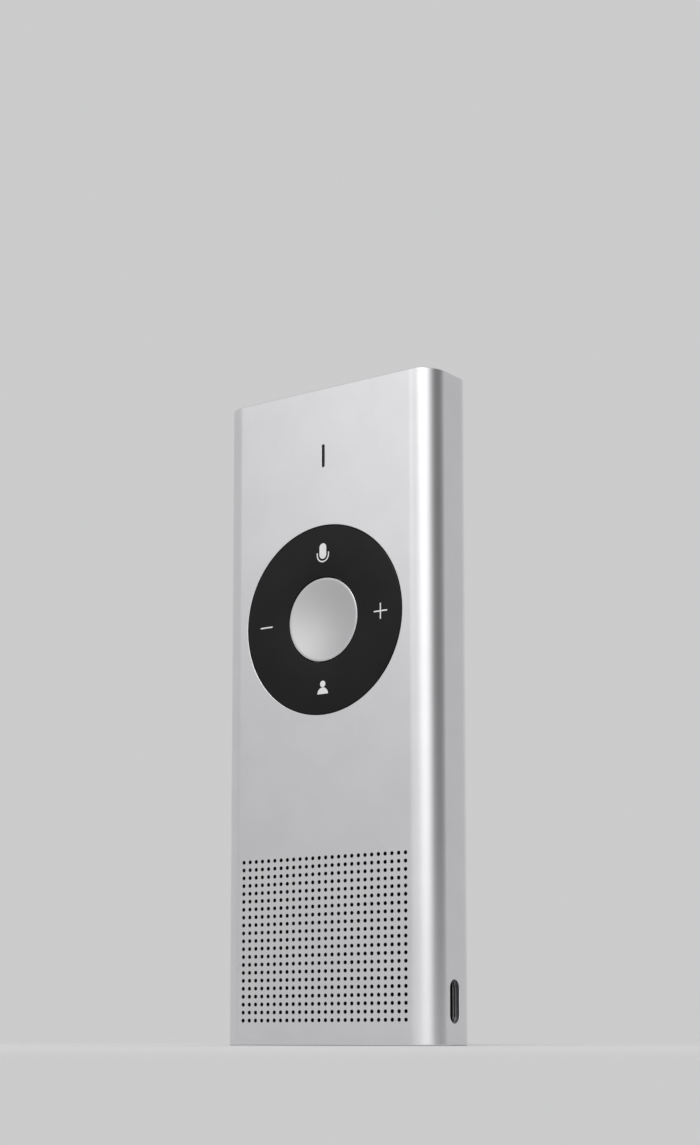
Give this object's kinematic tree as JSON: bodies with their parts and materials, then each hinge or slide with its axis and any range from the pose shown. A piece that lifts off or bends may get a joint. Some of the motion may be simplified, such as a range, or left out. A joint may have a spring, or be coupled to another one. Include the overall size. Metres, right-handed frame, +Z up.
{
  "type": "handheld translator",
  "caption": "Pocket voice translator: flat aluminium tube with a four-way rocker ring, a dished centre button, a drilled speaker field and a charging port in its side.",
  "frame": {"origin": "middle of the lower end face, on the plane the device stands on", "axes": "+Z up along the tube, +Y out of the back, +X to the right seen from the front; the front face looks to -Y"},
  "size_m": [0.049, 0.013, 0.1245],
  "materials": {
    "anodised_aluminium": "fine bead-blasted satin",
    "button_metal": "fine satin",
    "ring_black": "satin black",
    "cap_plastic": "satin",
    "lens_dark": "dark tinted",
    "lamp": "clear",
    "spring_steel": "rolled",
    "screw_steel": "plated",
    "socket_metal": "plated",
    "insulator": "moulded",
    "frame_plastic": "moulded",
    "board_laminate": "solder mask",
    "shield_tin": "tin plated",
    "cell_foil": "laminate pouch",
    "tape": "foam tape",
    "wire_red": "wire insulation",
    "flex_amber": "polyimide film",
    "dust_cloth": "fine black mesh",
    "foam": "foam",
    "cone_film": "pressed film",
    "magnet": "nickel plated"
  },
  "bodies": {
    "housing": {"body_sleeve": "anodised_aluminium", "top_end_cap": "cap_plastic", "bottom_end_cap": "cap_plastic", "indicator_lens": "lens_dark", "indicator_led": "lamp", "dome_switch_up": "spring_steel", "dome_switch_down": "spring_steel", "dome_switch_left": "spring_steel", "dome_switch_right": "spring_steel", "dome_switch_centre": "spring_steel", "board_screws": "screw_steel", "holder_screws": "screw_steel", "charge_socket_shell": "socket_metal", "charge_socket_tongue": "insulator", "key_holder": "insulator", "chips": "insulator", "battery_plug": "insulator", "speaker_basket": "insulator", "inner_frame": "frame_plastic", "main_circuit_board": "board_laminate", "charge_board": "board_laminate", "processor_shield": "shield_tin", "radio_shield": "shield_tin", "microphone": "shield_tin", "battery_cell": "cell_foil", "battery_tape": "tape", "battery_leads": "wire_red", "board_link_flex": "flex_amber", "antenna_strip": "flex_amber", "speaker_cloth": "dust_cloth", "speaker_gasket": "foam", "microphone_boot": "foam", "speaker_cone": "cone_film", "speaker_magnet": "magnet"},
    "gimbal": {"gimbal_plate": "spring_steel"},
    "ring": {"nav_ring": "ring_black"},
    "button": {"centre_button": "button_metal"}
  },
  "joints": [
    {"name": "ring_tilt_left_right", "type": "hinge", "parent": "housing", "child": "gimbal", "pos_m": [0, -0.0034, 0.07965], "axis": [0, 0, 1], "range_deg": [-1, 1], "stiffness_Nm_per_rad": 0.6, "deforming": ["dome_switch_left", "dome_switch_right"]},
    {"name": "ring_tilt_up_down", "type": "hinge", "parent": "gimbal", "child": "ring", "pos_m": [0, -0.0034, 0.07965], "axis": [1, 0, 0], "range_deg": [-1, 1], "stiffness_Nm_per_rad": 0.6, "deforming": ["dome_switch_up", "dome_switch_down"]},
    {"name": "button_press", "type": "slide", "parent": "housing", "child": "button", "axis": [0, 1, 0], "range_m": [0, 0.00025], "stiffness_N_per_m": 2000, "deforming": ["dome_switch_centre"]}
  ]
}
